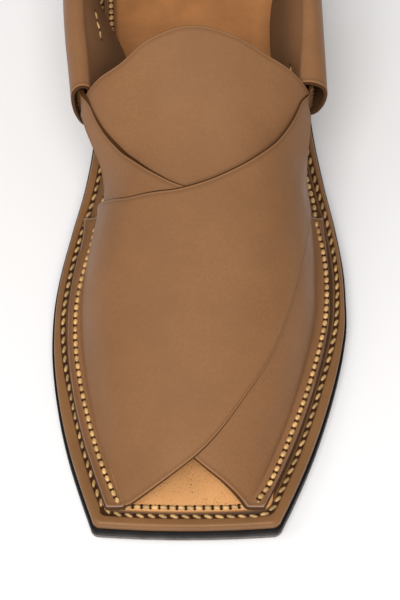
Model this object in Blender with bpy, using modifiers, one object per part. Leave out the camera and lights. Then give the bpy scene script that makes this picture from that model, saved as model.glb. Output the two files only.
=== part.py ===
"""Peshawari chappal for a left foot: a squared sandal with two crossing panels and a heel strap.

The shoe stands on its sole with the toe at -Y and the heel at +Y. All sizes are metres.
"""
import bmesh
import bpy
import math
from mathutils import Vector

# Named sizes
SOLE_LENGTH = 0.290
SOLE_WIDTH = 0.1143
OUTSOLE_THICKNESS = 0.0062
OUTSOLE_LEDGE = 0.0010
OUTSOLE_CHAMFER = 0.0008
MIDSOLE_THICKNESS = 0.0040
MIDSOLE_ROUND = 0.0016
INSOLE_THICKNESS = 0.0022
INSOLE_INSET = 0.0065
FLANGE_WIDTH = 0.0062
TOE_BOW = 0.0012
TOE_CORNER_RADIUS = 0.0016
HEEL_RISE = 0.0110
TOE_SPRING = 0.0015
HEEL_BREAST = 0.202
CLEARANCE = 0.0003
PANEL_WALL = 0.0020
PANEL_LAP = 0.0009
TONGUE_WALL = 0.0016
TONGUE_CLEARANCE = 0.0005
EAR_CLEARANCE = 0.0009
EAR_DEPTH = 0.0050
EAR_HEIGHT = 0.0130
EAR_START = 0.520
EAR_BLEND = 0.026
STRAP_WALL = 0.0016
STRAP_TOP = 0.0725
STRAP_HEIGHT = 0.0360
STRAP_BULGE = 0.0100
STRAP_LEAN = 0.0155
STRAP_EDGE = 0.0012
VAMP_HEIGHT = 0.078
ARCH_SPREAD = 0.023
FOLD_REACH = 0.06
SOLE_EDGE = 0.0006
INSOLE_EDGE = 0.0004

# Sole outline, a row per section: share of length from the toe, then left and right
# half-breadths as shares of the width
OUTLINE = [
    (0.000, 0.337, 0.248),
    (0.057, 0.388, 0.316),
    (0.106, 0.428, 0.368),
    (0.156, 0.460, 0.413),
    (0.206, 0.483, 0.451),
    (0.255, 0.497, 0.481),
    (0.295, 0.500, 0.497),
    (0.335, 0.496, 0.500),
    (0.384, 0.480, 0.497),
    (0.454, 0.444, 0.474),
    (0.523, 0.404, 0.439),
    (0.603, 0.380, 0.405),
    (0.682, 0.386, 0.387),
    (0.762, 0.404, 0.379),
    (0.841, 0.409, 0.374),
    (1.000, 0.395, 0.360),
]
HEEL_ROUND_START = 0.835
HEEL_ROUND_POWER = 2.3

# Rise of the sole's top above the forefoot: share of length, share of the heel rise
RISE = [
    (0.00, 0.00),
    (0.404, 0.00),
    (0.484, 0.12),
    (0.563, 0.44),
    (0.642, 0.82),
    (0.702, 0.97),
    (0.762, 1.00),
    (1.00, 1.00),
]

# Vamp form, a row per section: share of length, crown height as a share of the vamp
# height, squareness of the section, how far the left and the right foot of the arch are
# outside their place on the sole as shares of the spread, and how gently the arch
# leaves the sole
VAMP = [
    (0.000, 0.05, 2.0, 0.0, 0.0, 0.95),
    (0.027, 0.09, 2.0, 0.0, 0.0, 0.95),
    (0.076, 0.18, 2.1, 0.0, 0.0, 0.85),
    (0.146, 0.28, 2.3, 0.0, 0.0, 0.72),
    (0.215, 0.37, 2.5, 0.0, 0.0, 0.62),
    (0.315, 0.50, 2.8, 0.0, 0.0, 0.54),
    (0.404, 0.62, 3.0, 0.0, 0.03, 0.50),
    (0.454, 0.70, 3.0, 0.10, 0.09, 0.48),
    (0.523, 0.82, 3.2, 0.68, 0.38, 0.42),
    (0.593, 0.93, 3.4, 1.0, 0.587, 0.40),
    (0.652, 1.00, 3.4, 1.0, 0.587, 0.40),
]

# Panel sewn on the left, crossing over to the right ear, a row per section from the sewn
# edge to the ear: share across, place of the front edge (across the arch, share of
# length), place of the rear edge (across the arch, share of length)
PANEL_OVER = [
    (0.000, -1.100, 0.024, -1.100, 0.452),
    (0.040, -1.000, 0.024, -1.000, 0.450),
    (0.075, -0.900, 0.024, -0.900, 0.444),
    (0.150, -0.680, 0.025, -0.780, 0.428),
    (0.220, -0.350, 0.038, -0.620, 0.408),
    (0.320, 0.010, 0.068, -0.400, 0.392),
    (0.400, 0.200, 0.100, -0.200, 0.391),
    (0.480, 0.360, 0.150, -0.020, 0.399),
    (0.560, 0.490, 0.205, 0.150, 0.415),
    (0.650, 0.590, 0.290, 0.300, 0.435),
    (0.740, 0.700, 0.365, 0.440, 0.461),
    (0.830, 0.790, 0.425, 0.555, 0.495),
    (0.910, 0.740, 0.487, 0.620, 0.526),
    (1.000, 0.710, 0.565, 0.660, 0.565),
]

# Panel sewn on the right, crossing under to the left ear
PANEL_UNDER = [
    (0.000, 1.100, 0.024, 1.100, 0.452),
    (0.040, 1.000, 0.024, 1.000, 0.450),
    (0.075, 0.900, 0.024, 0.900, 0.444),
    (0.150, 0.660, 0.034, 0.780, 0.428),
    (0.220, 0.360, 0.050, 0.620, 0.408),
    (0.320, 0.050, 0.071, 0.400, 0.392),
    (0.400, -0.180, 0.105, 0.200, 0.388),
    (0.480, -0.360, 0.155, 0.020, 0.390),
    (0.560, -0.490, 0.210, -0.140, 0.398),
    (0.650, -0.600, 0.290, -0.300, 0.416),
    (0.740, -0.700, 0.365, -0.440, 0.438),
    (0.830, -0.775, 0.440, -0.560, 0.464),
    (0.910, -0.760, 0.487, -0.635, 0.499),
    (1.000, -0.730, 0.565, -0.660, 0.565),
]

# Tongue: share across, front edge (across, length), rear edge (across, length)
TONGUE = [
    (0.00, -0.52, 0.340, -0.672, 0.534),
    (0.10, -0.42, 0.326, -0.545, 0.537),
    (0.22, -0.30, 0.318, -0.400, 0.542),
    (0.36, -0.15, 0.314, -0.210, 0.563),
    (0.50, 0.00, 0.312, 0.000, 0.576),
    (0.64, 0.15, 0.314, 0.200, 0.566),
    (0.78, 0.30, 0.318, 0.380, 0.551),
    (0.90, 0.42, 0.326, 0.540, 0.543),
    (1.00, 0.52, 0.340, 0.685, 0.538),
]

# Heel strap, a row per section from the left mouth round the heel to the right mouth:
# share along, place of the top's inner line (share of width, share of length), then shares
# of the strap's top, height, bulge outward and lean inward at the foot
STRAP = [
    (0.00, -0.362, 0.543, 0.924, 0.710, 0.80, 0.03),
    (0.06, -0.371, 0.594, 0.931, 0.770, 0.86, 0.58),
    (0.12, -0.385, 0.648, 0.938, 0.833, 0.88, 1.00),
    (0.19, -0.396, 0.712, 0.945, 0.889, 0.90, 0.65),
    (0.26, -0.399, 0.777, 0.952, 0.917, 0.84, 0.19),
    (0.33, -0.373, 0.846, 0.966, 0.944, 0.74, 0.10),
    (0.41, -0.271, 0.903, 0.986, 0.972, 0.68, 0.07),
    (0.50, -0.013, 0.938, 1.000, 1.000, 0.66, 0.07),
    (0.59, 0.241, 0.903, 0.986, 0.972, 0.68, 0.07),
    (0.67, 0.332, 0.846, 0.966, 0.944, 0.74, 0.26),
    (0.74, 0.348, 0.777, 0.952, 0.917, 0.80, 0.65),
    (0.81, 0.347, 0.712, 0.945, 0.889, 0.85, 0.77),
    (0.88, 0.342, 0.650, 0.938, 0.800, 0.93, 0.71),
    (0.94, 0.336, 0.600, 0.931, 0.700, 1.02, 0.45),
    (1.00, 0.327, 0.549, 0.924, 0.595, 1.14, 0.03),
]

# Strap section, going round it: share of the bulge outward, share of the lean inward,
# share of the band's height down from the top, and share of the edge's round outward
STRAP_SECTION = [
    (0.00, 0.00, 0.10, 0.00),
    (0.00, 0.00, 0.02, 1.00),
    (0.45, 0.00, 0.00, 0.50),
    (0.88, 0.00, 0.12, 0.00),
    (1.00, 0.00, 0.34, 0.00),
    (0.94, 0.12, 0.64, 0.00),
    (0.76, 0.48, 0.88, 0.00),
    (0.42, 0.78, 1.00, 0.67),
    (0.04, 0.97, 0.98, 0.33),
    (0.00, 0.88, 0.82, 0.00),
    (0.00, 0.56, 0.56, 0.00),
    (0.00, 0.22, 0.30, 0.00),
]


def spline(rows, column, at):
    """Value of a column between its rows, as a smooth curve that doesn't overshoot."""
    if at <= rows[0][0]:
        return rows[0][column]
    if at >= rows[-1][0]:
        return rows[-1][column]
    i = 0
    while rows[i + 1][0] < at:
        i += 1

    def chord(k):
        return (rows[k + 1][column] - rows[k][column]) / (rows[k + 1][0] - rows[k][0])

    def slope(k):
        if k == 0:
            return chord(0)
        if k == len(rows) - 1:
            return chord(k - 1)
        before = chord(k - 1)
        after = chord(k)
        if before * after <= 0:
            return 0.0
        mean = (before + after) / 2
        limit = 3 * min(abs(before), abs(after))
        return math.copysign(min(abs(mean), limit), mean)

    step = rows[i + 1][0] - rows[i][0]
    u = (at - rows[i][0]) / step
    a = rows[i][column]
    b = rows[i + 1][column]
    sa = slope(i) * step
    sb = slope(i + 1) * step
    h = a * (2 * u**3 - 3 * u**2 + 1) + sa * (u**3 - 2 * u**2 + u)
    return h + b * (3 * u**2 - 2 * u**3) + sb * (u**3 - u**2)


def y_at(share):
    return (share - 0.5) * SOLE_LENGTH


def half_breadth(column, share, inset):
    """Half-breadth of the sole on one side, a given distance inside its edge."""
    step = 0.01
    low = max(0.0, share - step)
    high = min(1.0, share + step)
    rise = spline(OUTLINE, column, high) - spline(OUTLINE, column, low)
    slope = rise * SOLE_WIDTH / ((high - low) * SOLE_LENGTH)
    breadth = spline(OUTLINE, column, share) * SOLE_WIDTH
    breadth -= inset * math.sqrt(1 + slope * slope)
    end = 1 - inset / SOLE_LENGTH
    if share > HEEL_ROUND_START:
        u = min(1.0, (share - HEEL_ROUND_START) / (end - HEEL_ROUND_START))
        breadth *= max(0.0, 1 - u**HEEL_ROUND_POWER) ** (1 / HEEL_ROUND_POWER)
    return breadth


def sole_top(share):
    """Height of the outsole's top over the floor."""
    spring = TOE_SPRING * max(0.0, 1 - share / 0.16) ** 2
    return OUTSOLE_THICKNESS + spring + HEEL_RISE * spline(RISE, 1, share)


def sole_bottom(share):
    """Height of the outsole's bottom: toe spring, flat forefoot, arch and flat heel."""
    if share * SOLE_LENGTH > HEEL_BREAST:
        return 0.0
    return sole_top(share) - OUTSOLE_THICKNESS


def midsole_top(share):
    return sole_top(share) + CLEARANCE + MIDSOLE_THICKNESS


def insole_top(share):
    return midsole_top(share) + CLEARANCE + INSOLE_THICKNESS


def stations(inset):
    """Shares of length for the sole's rungs, closer together at the round of the heel."""
    start = (inset + TOE_BOW + TOE_CORNER_RADIUS) / SOLE_LENGTH
    end = 1 - inset / SOLE_LENGTH
    breast = HEEL_BREAST / SOLE_LENGTH
    shares = []
    for i in range(15):
        shares.append(start + (0.42 - start) * i / 15)
    for i in range(9):
        shares.append(0.42 + (breast - 0.42) * i / 9)
    shares.append(breast)
    shares.append(breast + 0.004)
    for i in range(1, 5):
        shares.append(breast + 0.004 + (HEEL_ROUND_START - breast - 0.004) * i / 5)
    for i in range(10):
        angle = i / 10 * math.pi / 2
        shares.append(HEEL_ROUND_START + (end - HEEL_ROUND_START) * math.sin(angle))
    shares.append(end - 0.0005)
    return shares


def rungs(inset):
    """Pairs of left and right outline points at the same station, from toe to heel."""
    pairs = []
    first = stations(inset)[0]
    left = half_breadth(1, first, inset)
    right = half_breadth(2, first, inset)
    near_left = half_breadth(1, inset / SOLE_LENGTH, inset)
    near_right = half_breadth(2, inset / SOLE_LENGTH, inset)
    corner = inset + TOE_BOW
    for i in range(5):
        u = i / 5
        cut = 1.1 * TOE_CORNER_RADIUS * (1 - u) ** 2
        x_left = near_left - cut + (left - near_left) * u * u
        x_right = near_right - cut + (right - near_right) * u * u
        share = (corner + TOE_CORNER_RADIUS * u * u) / SOLE_LENGTH
        pairs.append((share, -x_left, x_right))
    for share in stations(inset):
        pairs.append((share, -half_breadth(1, share, inset), half_breadth(2, share, inset)))
    return pairs


def front_points(inset):
    """Inner points of the front edge, left to right, bowed a little forward."""
    first = rungs(inset)[0]
    points = []
    for i in range(1, 6):
        u = i / 6
        bow = TOE_BOW * (1 - (2 * u - 1) ** 2)
        t = first[0] * SOLE_LENGTH - bow
        points.append((t / SOLE_LENGTH, first[1] + (first[2] - first[1]) * u))
    return points


def sole_ring(bm, inset, height, offset):
    """A ring of outline vertices: the front, the right side back, then the left side home."""
    ring = []
    for share, x in front_points(inset):
        ring.append(bm.verts.new((x, y_at(share), height(share) + offset)))
    pairs = rungs(inset)
    for share, _, x in pairs:
        ring.append(bm.verts.new((x, y_at(share), height(share) + offset)))
    for share, x, _ in reversed(pairs):
        ring.append(bm.verts.new((x, y_at(share), height(share) + offset)))
    return ring


def close_ladder(bm, ring, up):
    """Fill a ring across, rung by rung, with a fan at the front."""
    count = (len(ring) - 5) // 2
    front = ring[:5]
    right = ring[5 : 5 + count]
    left = list(reversed(ring[5 + count :]))
    faces = [[left[0]] + front + [right[0]]]
    for i in range(count - 1):
        faces.append([left[i], right[i], right[i + 1], left[i + 1]])
    for face in faces:
        bm.faces.new(face if up else list(reversed(face)))


def plate(name, rings, material, collection):
    """A solid of stacked outline rings: inset, height function and offset of each."""
    bm = bmesh.new()
    loops = [sole_ring(bm, inset, height, offset) for inset, height, offset in rings]
    for low, high in zip(loops[:-1], loops[1:]):
        for i in range(len(low)):
            j = (i + 1) % len(low)
            bm.faces.new((low[i], low[j], high[j], high[i]))
    close_ladder(bm, loops[0], False)
    close_ladder(bm, loops[-1], True)
    bmesh.ops.recalc_face_normals(bm, faces=bm.faces)
    return finish(name, bm, material, collection)


def finish(name, bm, material, collection):
    mesh = bpy.data.meshes.new(name)
    bm.to_mesh(mesh)
    bm.free()
    obj = bpy.data.objects.new(name, mesh)
    if material is not None:
        mesh.materials.append(material)
    collection.objects.link(obj)
    return obj


def arch_point(across, share):
    """A point of the vamp's form: -1 to 1 over the arch, beyond that on the flat flange."""
    at = min(max(share, 0.0), 0.66)
    inset = INSOLE_INSET + FLANGE_WIDTH
    left = half_breadth(1, at, inset) + spline(VAMP, 3, at) * ARCH_SPREAD
    right = half_breadth(2, at, inset) + spline(VAMP, 4, at) * ARCH_SPREAD
    middle = (right - left) / 2
    half = (right + left) / 2
    base = insole_top(at) + CLEARANCE + PANEL_WALL
    if abs(across) > 1:
        x = middle + math.copysign(half + (abs(across) - 1) * FLANGE_WIDTH / 0.1, across)
        return Vector((x, y_at(share), base))
    sweep = math.sin(across * math.pi / 2)
    squareness = spline(VAMP, 2, at)
    height = VAMP_HEIGHT * spline(VAMP, 1, at)
    gentle = spline(VAMP, 5, at)
    z = base + height * max(0.0, 1 - abs(sweep) ** squareness) ** gentle
    return Vector((middle + half * sweep, y_at(share), z))


def soft_point(across, share):
    """The vamp's form with its fold at the flange rounded."""
    total = Vector((0, 0, 0))
    for k in range(-3, 4):
        total += arch_point(across + k * FOLD_REACH / 3, share) / 7
    return total


def vamp_point(across, share, lift):
    """A point a given distance outside the vamp's form."""
    step = 0.01
    du = soft_point(across + step, share) - soft_point(across - step, share)
    dv = soft_point(across, share + step) - soft_point(across, share - step)
    normal = du.cross(dv)
    normal.normalize()
    return soft_point(across, share) + normal * lift


def ease(value):
    value = min(1.0, max(0.0, value))
    return value * value * (3 - 2 * value)


def ear_point(side, share, back):
    """A point of a panel's ear, upright inside the strap's mouth: back is 1 at its top."""
    mouth = 0.0 if side < 0 else 1.0
    inward = 0.06 if side < 0 else 0.94
    start = spline(STRAP, 2, mouth)
    run = max(0.0, share - start) / (spline(STRAP, 2, inward) - start)
    line = spline(STRAP, 1, mouth + (inward - mouth) * run) * SOLE_WIDTH
    x = line + side * (STRAP_WALL + EAR_CLEARANCE + PANEL_WALL)
    top = spline(STRAP, 3, mouth) * STRAP_TOP - EAR_DEPTH
    return Vector((x, y_at(share), top - EAR_HEIGHT * (1 - back)))


def sheet(name, table, lift, ear, columns, rows, wall, material, collection):
    """A leather sheet over the vamp's form between the front and rear edges of a table."""
    bm = bmesh.new()
    bmesh.ops.create_grid(bm, x_segments=len(columns) - 1, y_segments=rows, size=1)
    for vert in bm.verts:
        i = round((vert.co.x + 1) / 2 * (len(columns) - 1))
        back = (vert.co.y + 1) / 2
        at = columns[i]
        front_across = spline(table, 1, at)
        front_share = spline(table, 2, at)
        rear_across = spline(table, 3, at)
        rear_share = spline(table, 4, at)
        across = front_across + (rear_across - front_across) * back
        share = front_share + (rear_share - front_share) * back
        vert.co = vamp_point(across, share, lift(across, share))
        if ear != 0:
            into = ease((share - EAR_START) / EAR_BLEND)
            vert.co = vert.co.lerp(ear_point(ear, share, back), into)
    bmesh.ops.recalc_face_normals(bm, faces=bm.faces)
    middle = min(bm.faces, key=lambda face: abs(face.calc_center_median().x))
    if middle.normal.z < 0:
        bmesh.ops.reverse_faces(bm, faces=bm.faces)
    obj = finish(name, bm, material, collection)
    solid = obj.modifiers.new("wall", "SOLIDIFY")
    solid.thickness = wall
    solid.offset = -1.0
    return obj


def over_lift(across, share):
    """The upper panel lies flat on its sewn side and rides on the lower one elsewhere."""
    return (PANEL_WALL - PANEL_LAP) * ease((across + 1.02) / 0.14)


def under_lift(across, share):
    return 0.0


def tongue_lift(across, share):
    return -TONGUE_CLEARANCE - PANEL_WALL


def strap_section(along):
    """Points of the strap's outside round its section at a share of its path."""
    step = 0.005
    low = max(0.0, along - step)
    high = min(1.0, along + step)
    dx = (spline(STRAP, 1, high) - spline(STRAP, 1, low)) * SOLE_WIDTH
    dy = (spline(STRAP, 2, high) - spline(STRAP, 2, low)) * SOLE_LENGTH
    run = Vector((dx, dy, 0))
    run.normalize()
    out = Vector((-run.y, run.x, 0))
    top = Vector((spline(STRAP, 1, along) * SOLE_WIDTH, y_at(spline(STRAP, 2, along)), 0))
    top.z = spline(STRAP, 3, along) * STRAP_TOP
    tall = spline(STRAP, 4, along) * STRAP_HEIGHT
    bulge = spline(STRAP, 5, along) * STRAP_BULGE
    lean = spline(STRAP, 6, along) * STRAP_LEAN
    corners = []
    for share_out, share_in, share_down, share_edge in STRAP_SECTION:
        reach = share_out * bulge - share_in * lean + share_edge * STRAP_EDGE
        corners.append(top + out * reach - Vector((0, 0, share_down * tall)))
    count = len(corners)
    points = []
    for i in range(count):
        a, b, c, d = (corners[(i + k) % count] for k in (-1, 0, 1, 2))
        points.append(b.copy())
        points.append((b + c) * 0.5625 - (a + d) * 0.0625)
    return points


def heel_strap(material, collection):
    bm = bmesh.new()
    loops = []
    count = 46
    for i in range(count + 1):
        loops.append([bm.verts.new(point) for point in strap_section(i / count)])
    for low, high in zip(loops[:-1], loops[1:]):
        for i in range(len(low)):
            j = (i + 1) % len(low)
            bm.faces.new((low[i], high[i], high[j], low[j]))
    bmesh.ops.recalc_face_normals(bm, faces=bm.faces)
    outer = max(bm.faces, key=lambda face: face.calc_center_median().y)
    if outer.normal.y < 0:
        bmesh.ops.reverse_faces(bm, faces=bm.faces)
    obj = finish("heel_strap", bm, material, collection)
    solid = obj.modifiers.new("wall", "SOLIDIFY")
    solid.thickness = STRAP_WALL
    solid.offset = -1.0
    return obj


def surface(name, color, roughness):
    material = bpy.data.materials.new(name)
    material.use_nodes = True
    shader = material.node_tree.nodes["Principled BSDF"]
    shader.inputs["Base Color"].default_value = (*color, 1.0)
    shader.inputs["Roughness"].default_value = roughness
    return material


def panel_columns():
    columns = [0.0, 0.02, 0.035, 0.048, 0.062, 0.08, 0.105, 0.135]
    for i in range(1, 27):
        columns.append(0.135 + 0.865 * i / 26)
    return columns


def main():
    for old in list(bpy.data.objects):
        bpy.data.objects.remove(old, do_unlink=True)
    shoe = bpy.data.collections.new("peshawari_chappal")
    cutters = bpy.data.collections.new("forms")
    bpy.context.scene.collection.children.link(shoe)
    bpy.context.scene.collection.children.link(cutters)

    # Sole
    black = surface("outsole_rubber", (0.012, 0.011, 0.011), 0.6)
    plate(
        "outsole",
        [
            (OUTSOLE_CHAMFER, sole_bottom, 0.0),
            (0.0, sole_bottom, OUTSOLE_CHAMFER),
            (0.0, sole_top, -SOLE_EDGE),
            (SOLE_EDGE, sole_top, 0.0),
        ],
        black,
        shoe,
    )
    brown = surface("midsole_leather", (0.31, 0.16, 0.08), 0.45)
    plate(
        "midsole",
        [
            (OUTSOLE_LEDGE, sole_top, CLEARANCE),
            (OUTSOLE_LEDGE, midsole_top, -MIDSOLE_ROUND),
            (OUTSOLE_LEDGE + 0.3 * MIDSOLE_ROUND, midsole_top, -0.3 * MIDSOLE_ROUND),
            (OUTSOLE_LEDGE + MIDSOLE_ROUND, midsole_top, 0.0),
        ],
        brown,
        shoe,
    )
    tan = surface("insole_leather", (0.62, 0.34, 0.15), 0.6)
    plate(
        "insole",
        [
            (INSOLE_INSET, midsole_top, CLEARANCE),
            (INSOLE_INSET, insole_top, -INSOLE_EDGE),
            (INSOLE_INSET + INSOLE_EDGE, insole_top, 0.0),
        ],
        tan,
        shoe,
    )

    # Crossing panels, one body where they lap
    taupe = surface("upper_leather", (0.33, 0.19, 0.11), 0.4)
    upper = sheet(
        "upper", PANEL_OVER, over_lift, 1, panel_columns(), 18, PANEL_WALL, taupe, shoe
    )
    under = sheet(
        "under_panel_form",
        PANEL_UNDER,
        under_lift,
        -1,
        panel_columns(),
        18,
        PANEL_WALL,
        taupe,
        cutters,
    )
    under.hide_render = True
    under.display_type = "WIRE"
    join = upper.modifiers.new("join", "BOOLEAN")
    join.operation = "UNION"
    join.solver = "EXACT"
    join.object = under

    # Tongue and heel strap
    inner = surface("tongue_leather", (0.36, 0.21, 0.12), 0.4)
    across = [i / 14 for i in range(15)]
    sheet("tongue", TONGUE, tongue_lift, 0, across, 12, TONGUE_WALL, inner, shoe)
    band = surface("strap_leather", (0.32, 0.18, 0.10), 0.4)
    heel_strap(band, shoe)


main()
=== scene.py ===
"""Dresses a left peshawari chappal: stitched leather panels, heel strap and squared sole.

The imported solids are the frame. Every piece here is a fine mesh that stands for one of them
or is sewn on it. The toe is at -Y, the heel at +Y, and all sizes are metres.
"""

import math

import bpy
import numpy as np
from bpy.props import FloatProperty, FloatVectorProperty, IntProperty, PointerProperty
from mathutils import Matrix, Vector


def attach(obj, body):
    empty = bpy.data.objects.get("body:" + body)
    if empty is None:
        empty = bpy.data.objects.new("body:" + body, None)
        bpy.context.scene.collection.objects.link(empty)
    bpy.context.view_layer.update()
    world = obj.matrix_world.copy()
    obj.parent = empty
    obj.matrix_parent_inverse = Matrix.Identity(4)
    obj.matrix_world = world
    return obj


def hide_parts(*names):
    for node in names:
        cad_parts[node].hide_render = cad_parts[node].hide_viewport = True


bl_info = {
    "name": "Peshawari chappal",
    "version": (1, 0, 0),
    "blender": (4, 5, 0),
    "location": "3D View > Sidebar > Chappal",
    "description": "Fine leather, thread and rubber pieces for a peshawari chappal",
    "category": "Object",
}

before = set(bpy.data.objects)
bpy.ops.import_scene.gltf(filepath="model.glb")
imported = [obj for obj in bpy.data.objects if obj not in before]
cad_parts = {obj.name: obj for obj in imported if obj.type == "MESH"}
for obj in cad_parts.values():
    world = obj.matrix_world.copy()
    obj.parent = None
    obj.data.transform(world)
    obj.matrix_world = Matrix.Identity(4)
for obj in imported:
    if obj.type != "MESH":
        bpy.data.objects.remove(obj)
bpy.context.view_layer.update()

# Sole outline, a row per section: share of length from the toe, then left and right
# half-breadths as shares of the width
OUTLINE = [
    (0.000, 0.337, 0.248),
    (0.057, 0.388, 0.316),
    (0.106, 0.428, 0.368),
    (0.156, 0.460, 0.413),
    (0.206, 0.483, 0.451),
    (0.255, 0.497, 0.481),
    (0.295, 0.500, 0.497),
    (0.335, 0.496, 0.500),
    (0.384, 0.480, 0.497),
    (0.454, 0.444, 0.474),
    (0.523, 0.404, 0.439),
    (0.603, 0.380, 0.405),
    (0.682, 0.386, 0.387),
    (0.762, 0.404, 0.379),
    (0.841, 0.409, 0.374),
    (1.000, 0.395, 0.360),
]
HEEL_ROUND_START = 0.835
HEEL_ROUND_POWER = 2.3

# Rise of the sole's top above the forefoot: share of length, share of the heel rise
RISE = [
    (0.00, 0.00),
    (0.404, 0.00),
    (0.484, 0.12),
    (0.563, 0.44),
    (0.642, 0.82),
    (0.702, 0.97),
    (0.762, 1.00),
    (1.00, 1.00),
]

# Vamp form, a row per section: share of length, crown height as a share of the vamp
# height, squareness of the section, how far the left and the right foot of the arch are
# outside their place on the sole as shares of the spread, and how gently the arch
# leaves the sole
VAMP = [
    (0.000, 0.05, 2.0, 0.0, 0.0, 0.95),
    (0.027, 0.09, 2.0, 0.0, 0.0, 0.95),
    (0.076, 0.18, 2.1, 0.0, 0.0, 0.85),
    (0.146, 0.28, 2.3, 0.0, 0.0, 0.72),
    (0.215, 0.37, 2.5, 0.0, 0.0, 0.62),
    (0.315, 0.50, 2.8, 0.0, 0.0, 0.54),
    (0.404, 0.62, 3.0, 0.0, 0.03, 0.50),
    (0.454, 0.70, 3.0, 0.10, 0.09, 0.48),
    (0.523, 0.82, 3.2, 0.68, 0.38, 0.42),
    (0.593, 0.93, 3.4, 1.0, 0.587, 0.40),
    (0.652, 1.00, 3.4, 1.0, 0.587, 0.40),
]

# Panel sewn on the left, crossing over to the right ear, a row per section from the sewn
# edge to the ear: share across, place of the front edge (across the arch, share of
# length), place of the rear edge (across the arch, share of length)
PANEL_OVER = [
    (0.000, -1.100, 0.024, -1.100, 0.452),
    (0.040, -1.000, 0.024, -1.000, 0.450),
    (0.075, -0.900, 0.024, -0.900, 0.444),
    (0.150, -0.680, 0.025, -0.780, 0.428),
    (0.220, -0.350, 0.038, -0.620, 0.408),
    (0.320, 0.010, 0.068, -0.400, 0.392),
    (0.400, 0.200, 0.100, -0.200, 0.391),
    (0.480, 0.360, 0.150, -0.020, 0.399),
    (0.560, 0.490, 0.205, 0.150, 0.415),
    (0.650, 0.590, 0.290, 0.300, 0.435),
    (0.740, 0.700, 0.365, 0.440, 0.461),
    (0.830, 0.790, 0.425, 0.555, 0.495),
    (0.910, 0.740, 0.487, 0.620, 0.526),
    (1.000, 0.710, 0.565, 0.660, 0.565),
]

# Panel sewn on the right, crossing under to the left ear
PANEL_UNDER = [
    (0.000, 1.088, 0.024, 1.088, 0.452),
    (0.040, 1.000, 0.024, 1.000, 0.450),
    (0.075, 0.900, 0.024, 0.900, 0.444),
    (0.150, 0.660, 0.0305, 0.780, 0.428),
    (0.220, 0.360, 0.0465, 0.620, 0.408),
    (0.320, 0.050, 0.071, 0.400, 0.392),
    (0.400, -0.180, 0.105, 0.200, 0.388),
    (0.480, -0.360, 0.155, 0.020, 0.390),
    (0.560, -0.490, 0.210, -0.140, 0.398),
    (0.650, -0.600, 0.290, -0.300, 0.416),
    (0.740, -0.700, 0.365, -0.440, 0.438),
    (0.830, -0.775, 0.440, -0.560, 0.464),
    (0.910, -0.760, 0.487, -0.635, 0.499),
    (1.000, -0.730, 0.565, -0.660, 0.565),
]

# Tongue: share across, front edge (across, length), rear edge (across, length)
TONGUE = [
    (0.00, -0.52, 0.340, -0.672, 0.534),
    (0.10, -0.42, 0.326, -0.545, 0.537),
    (0.22, -0.30, 0.318, -0.400, 0.542),
    (0.36, -0.15, 0.314, -0.210, 0.563),
    (0.50, 0.00, 0.312, 0.000, 0.576),
    (0.64, 0.15, 0.314, 0.200, 0.566),
    (0.78, 0.30, 0.318, 0.380, 0.551),
    (0.90, 0.42, 0.326, 0.540, 0.543),
    (1.00, 0.52, 0.340, 0.685, 0.538),
]

# Heel strap, a row per section from the left mouth round the heel to the right mouth:
# share along, place of the top's inner line (share of width, share of length), then shares
# of the strap's top, height, bulge outward and lean inward at the foot
STRAP = [
    (0.00, -0.362, 0.543, 0.924, 0.710, 0.80, 0.03),
    (0.06, -0.371, 0.594, 0.931, 0.770, 0.86, 0.58),
    (0.12, -0.385, 0.648, 0.938, 0.833, 0.88, 1.00),
    (0.19, -0.396, 0.712, 0.945, 0.889, 0.90, 0.65),
    (0.26, -0.399, 0.777, 0.952, 0.917, 0.84, 0.19),
    (0.33, -0.373, 0.846, 0.966, 0.944, 0.74, 0.10),
    (0.41, -0.271, 0.903, 0.986, 0.972, 0.68, 0.07),
    (0.50, -0.013, 0.938, 1.000, 1.000, 0.66, 0.07),
    (0.59, 0.241, 0.903, 0.986, 0.972, 0.68, 0.07),
    (0.67, 0.332, 0.846, 0.966, 0.944, 0.74, 0.26),
    (0.74, 0.348, 0.777, 0.952, 0.917, 0.80, 0.65),
    (0.81, 0.347, 0.712, 0.945, 0.889, 0.85, 0.77),
    (0.88, 0.342, 0.650, 0.938, 0.800, 0.93, 0.71),
    (0.94, 0.336, 0.600, 0.931, 0.700, 1.02, 0.45),
    (1.00, 0.327, 0.549, 0.924, 0.595, 1.14, 0.03),
]

# Strap section, going round it: share of the bulge outward, share of the lean inward,
# share of the band's height down from the top, and share of the edge's round outward
STRAP_SECTION = [
    (0.00, 0.00, 0.10, 0.00),
    (0.00, 0.00, 0.02, 1.00),
    (0.45, 0.00, 0.00, 0.50),
    (0.88, 0.00, 0.12, 0.00),
    (1.00, 0.00, 0.34, 0.00),
    (0.94, 0.12, 0.64, 0.00),
    (0.76, 0.48, 0.88, 0.00),
    (0.42, 0.78, 1.00, 0.67),
    (0.04, 0.97, 0.98, 0.33),
    (0.00, 0.88, 0.82, 0.00),
    (0.00, 0.56, 0.56, 0.00),
    (0.00, 0.22, 0.30, 0.00),
]

# Outer stitches: share of the sole's length, and how far inside the outsole's edge they run
# on the left and on the right
OUTER_ROW = [
    (0.030, 0.0063, 0.0053),
    (0.060, 0.0060, 0.0055),
    (0.120, 0.0062, 0.0055),
    (0.180, 0.0060, 0.0055),
    (0.220, 0.0053, 0.0053),
    (0.260, 0.0049, 0.0048),
    (0.300, 0.0044, 0.0043),
    (0.350, 0.0046, 0.0036),
    (0.440, 0.0047, 0.0034),
    (0.480, 0.0053, 0.0036),
    (0.560, 0.0053, 0.0042),
    (0.800, 0.0051, 0.0051),
    (0.940, 0.0051, 0.0051),
]

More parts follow.
